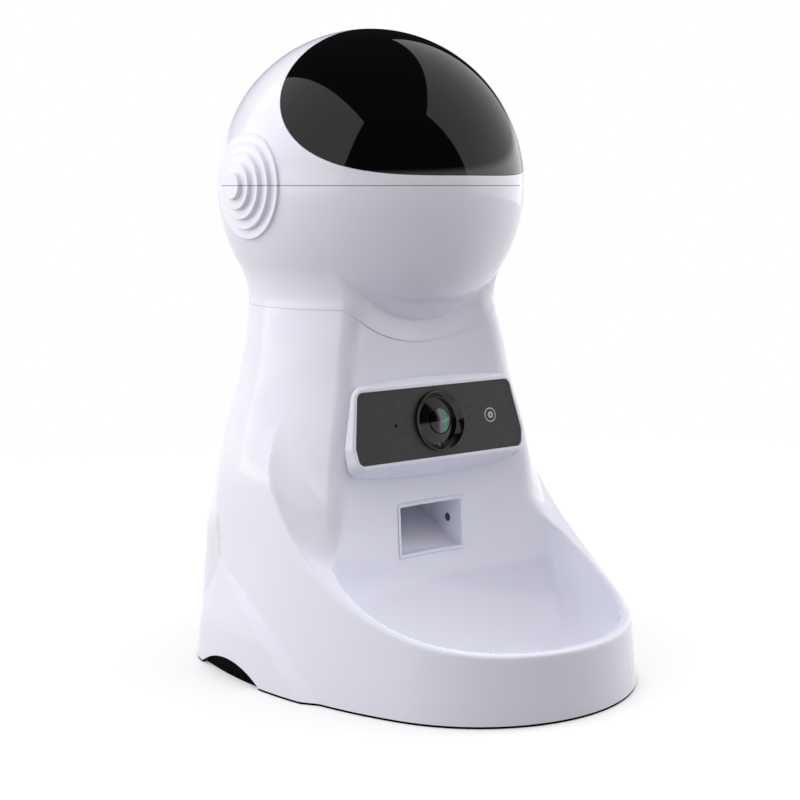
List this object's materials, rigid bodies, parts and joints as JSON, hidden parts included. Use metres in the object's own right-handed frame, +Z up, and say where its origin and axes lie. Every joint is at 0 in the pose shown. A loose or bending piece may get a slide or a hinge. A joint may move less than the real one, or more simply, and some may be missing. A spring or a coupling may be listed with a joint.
{
  "type": "automatic pet feeder with camera",
  "caption": "Round-headed pet feeder on a flared column with a fixed bowl, hinged lid, camera panel with button, food chute and a motor-driven dosing rotor.",
  "frame": {"origin": "centre of the bounding box on the floor, under the rubber feet", "axes": "+Z up, -Y towards the bowl and camera, +X to the right seen from the front"},
  "size_m": [0.2194, 0.2861, 0.364],
  "materials": {
    "white_abs": "gloss",
    "smoked_acrylic": "gloss",
    "gloss_black_abs": "gloss",
    "panel_plastic": "satin",
    "coated_glass": "gloss",
    "black_plastic": "matte",
    "black_rubber": "matte",
    "natural_nylon": "satin",
    "soft_vane_rubber": "matte",
    "steel": "brushed",
    "silver_plastic": "satin",
    "circuit_board": "satin"
  },
  "bodies": {
    "base": {"head_shell": "white_abs", "body_shell": "white_abs", "camera_bezel": "white_abs", "food_chute": "white_abs", "lens_ring": "gloss_black_abs", "camera_panel": "panel_plastic", "lens_glass": "coated_glass", "light_sensor": "coated_glass", "base_plate": "black_plastic", "battery_box": "black_plastic", "battery_door": "black_plastic", "camera_module": "black_plastic", "button_switch": "black_plastic", "chute_sensors": "black_plastic", "gear_cover": "black_plastic", "speaker": "black_plastic", "power_socket": "black_plastic", "rubber_feet": "black_rubber", "hopper": "natural_nylon", "dosing_housing": "natural_nylon", "hinge_pin": "steel", "drive_motor": "steel", "motor_screws": "steel", "battery_contacts": "steel", "door_screw": "steel", "base_screws": "steel", "board_screws": "steel", "microphone": "steel", "button_ring": "silver_plastic", "camera_board": "circuit_board", "main_board": "circuit_board"},
    "lid": {"lid_shell": "white_abs", "visor_window": "smoked_acrylic", "lid_seal": "black_rubber"},
    "rotor": {"dosing_rotor": "soft_vane_rubber", "rotor_shaft": "steel", "rotor_gear": "natural_nylon"},
    "pinion": {"motor_pinion": "natural_nylon", "motor_shaft": "steel"},
    "button": {"set_button": "panel_plastic"}
  },
  "joints": [
    {"name": "lid_hinge", "type": "hinge", "parent": "base", "child": "lid", "pos_m": [0, 0.13749, 0.274], "axis": [-1, 0, 0], "range_deg": [0, 95]},
    {"name": "rotor_spin", "type": "hinge", "parent": "base", "child": "rotor", "pos_m": [0, 0.04189, 0.15], "axis": [0, 0, 1], "continuous": true},
    {"name": "pinion_spin", "type": "hinge", "parent": "base", "child": "pinion", "pos_m": [0, 0.05957, 0.15], "axis": [0, 0, 1], "continuous": true},
    {"name": "button_press", "type": "slide", "parent": "base", "child": "button", "axis": [0, 0.9803, -0.1977], "range_m": [0, 0.0008], "stiffness_N_per_m": 300}
  ],
  "couplings": [
    {"joint": "pinion_spin", "follows": "rotor_spin", "ratio": -2.6667}
  ]
}
